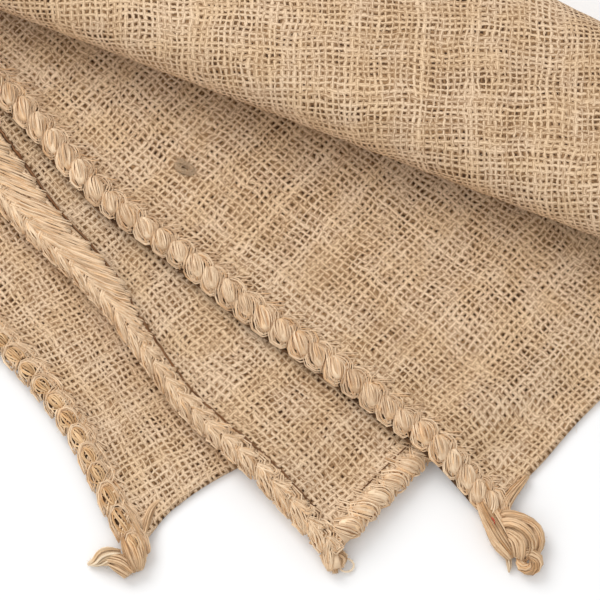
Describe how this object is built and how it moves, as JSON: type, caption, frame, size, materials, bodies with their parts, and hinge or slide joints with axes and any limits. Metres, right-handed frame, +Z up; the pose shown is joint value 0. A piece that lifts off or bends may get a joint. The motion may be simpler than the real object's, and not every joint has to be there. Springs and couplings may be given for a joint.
{
  "type": "jute sack",
  "caption": "Sewn jute sack lying folded in four with its leaves fanned out and its far side rolled back over, with thick yarn seams and knotted corners",
  "frame": {"origin": "middle of the box that holds the folded sack, on the floor it lies on", "axes": "+Z up from the floor; +Y away from the corners with the knots, +X to their right"},
  "size_m": [0.6021, 0.4838, 0.052],
  "materials": {
    "jute_cloth": "matte open plain weave",
    "jute_yarn": "matte hairy yarn"
  },
  "bodies": {
    "root": {"sack_cloth": "jute_cloth", "seam_east": "jute_yarn", "seam_west": "jute_yarn", "seam_bottom": "jute_yarn", "knot_east": "jute_yarn", "knot_west": "jute_yarn"}
  },
  "joints": []
}
